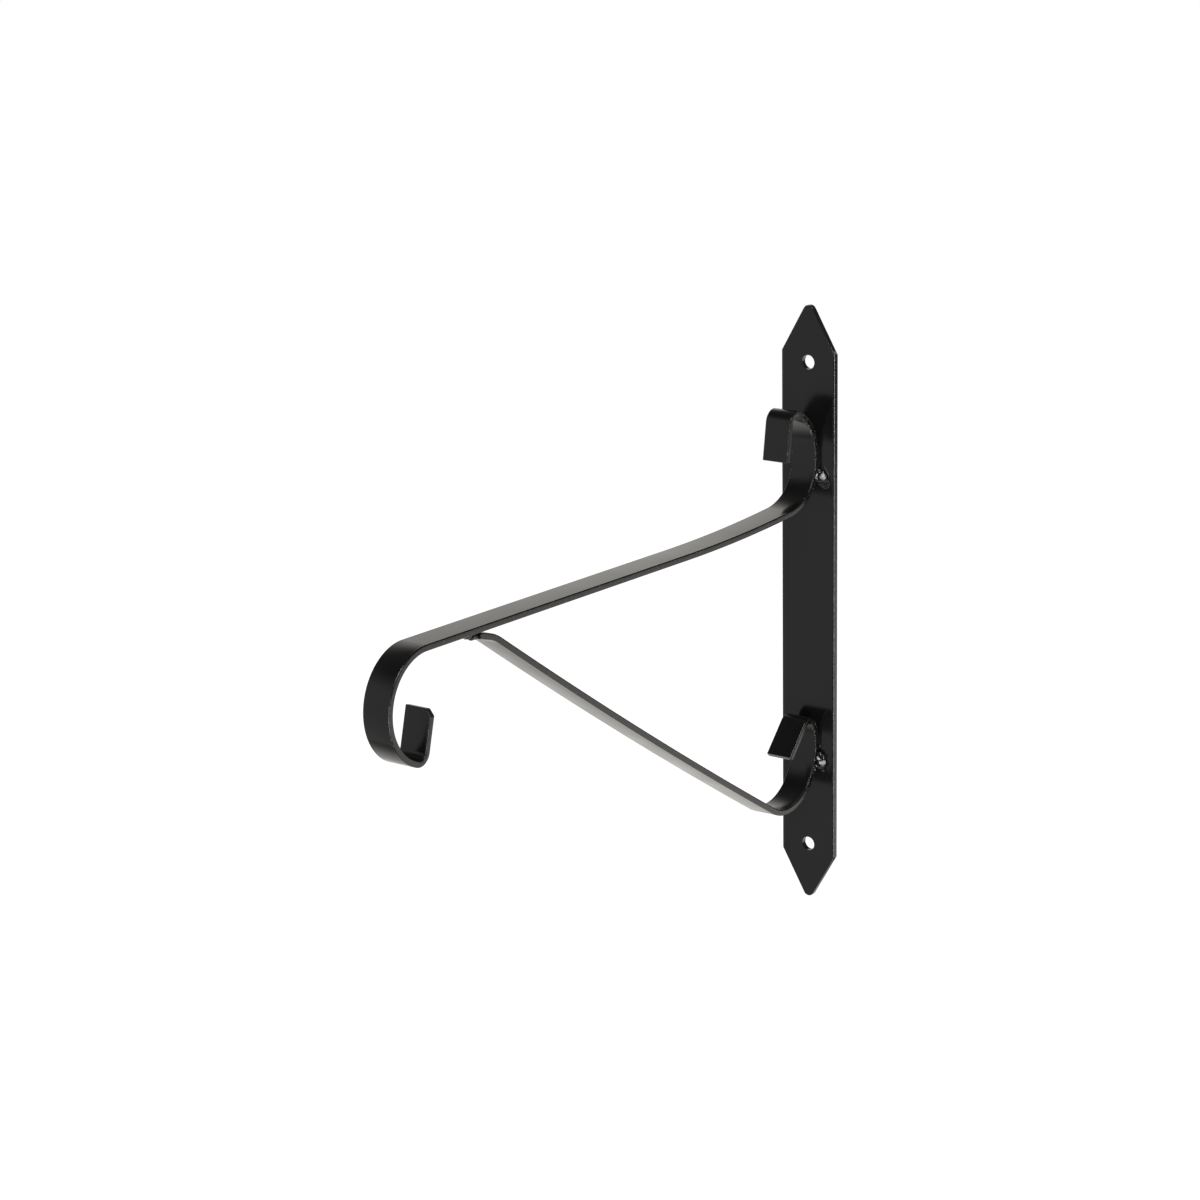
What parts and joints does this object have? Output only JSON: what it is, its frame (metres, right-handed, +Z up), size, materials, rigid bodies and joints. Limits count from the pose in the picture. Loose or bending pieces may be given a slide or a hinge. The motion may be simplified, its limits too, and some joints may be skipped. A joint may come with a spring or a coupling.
{
  "type": "hanging basket bracket",
  "caption": "Wall bracket of bent flat bar: pointed back plate with screw holes, scrolled arm ending in a hook, and a scrolled brace below it.",
  "frame": {"origin": "middle of the back plate's wall face, halfway between the two screw holes", "axes": "+X across the bracket, +Y into the wall, so that the arm and its hook reach out along -Y, +Z up"},
  "size_m": [0.03, 0.3335, 0.3],
  "materials": {
    "paint": "satin black powder coat on steel"
  },
  "bodies": {
    "root": {"back_plate": "paint", "hook_arm": "paint", "brace": "paint", "upper_weld_right": "paint", "upper_weld_left": "paint", "lower_weld_right": "paint", "lower_weld_left": "paint", "brace_tip_weld": "paint"}
  },
  "joints": []
}
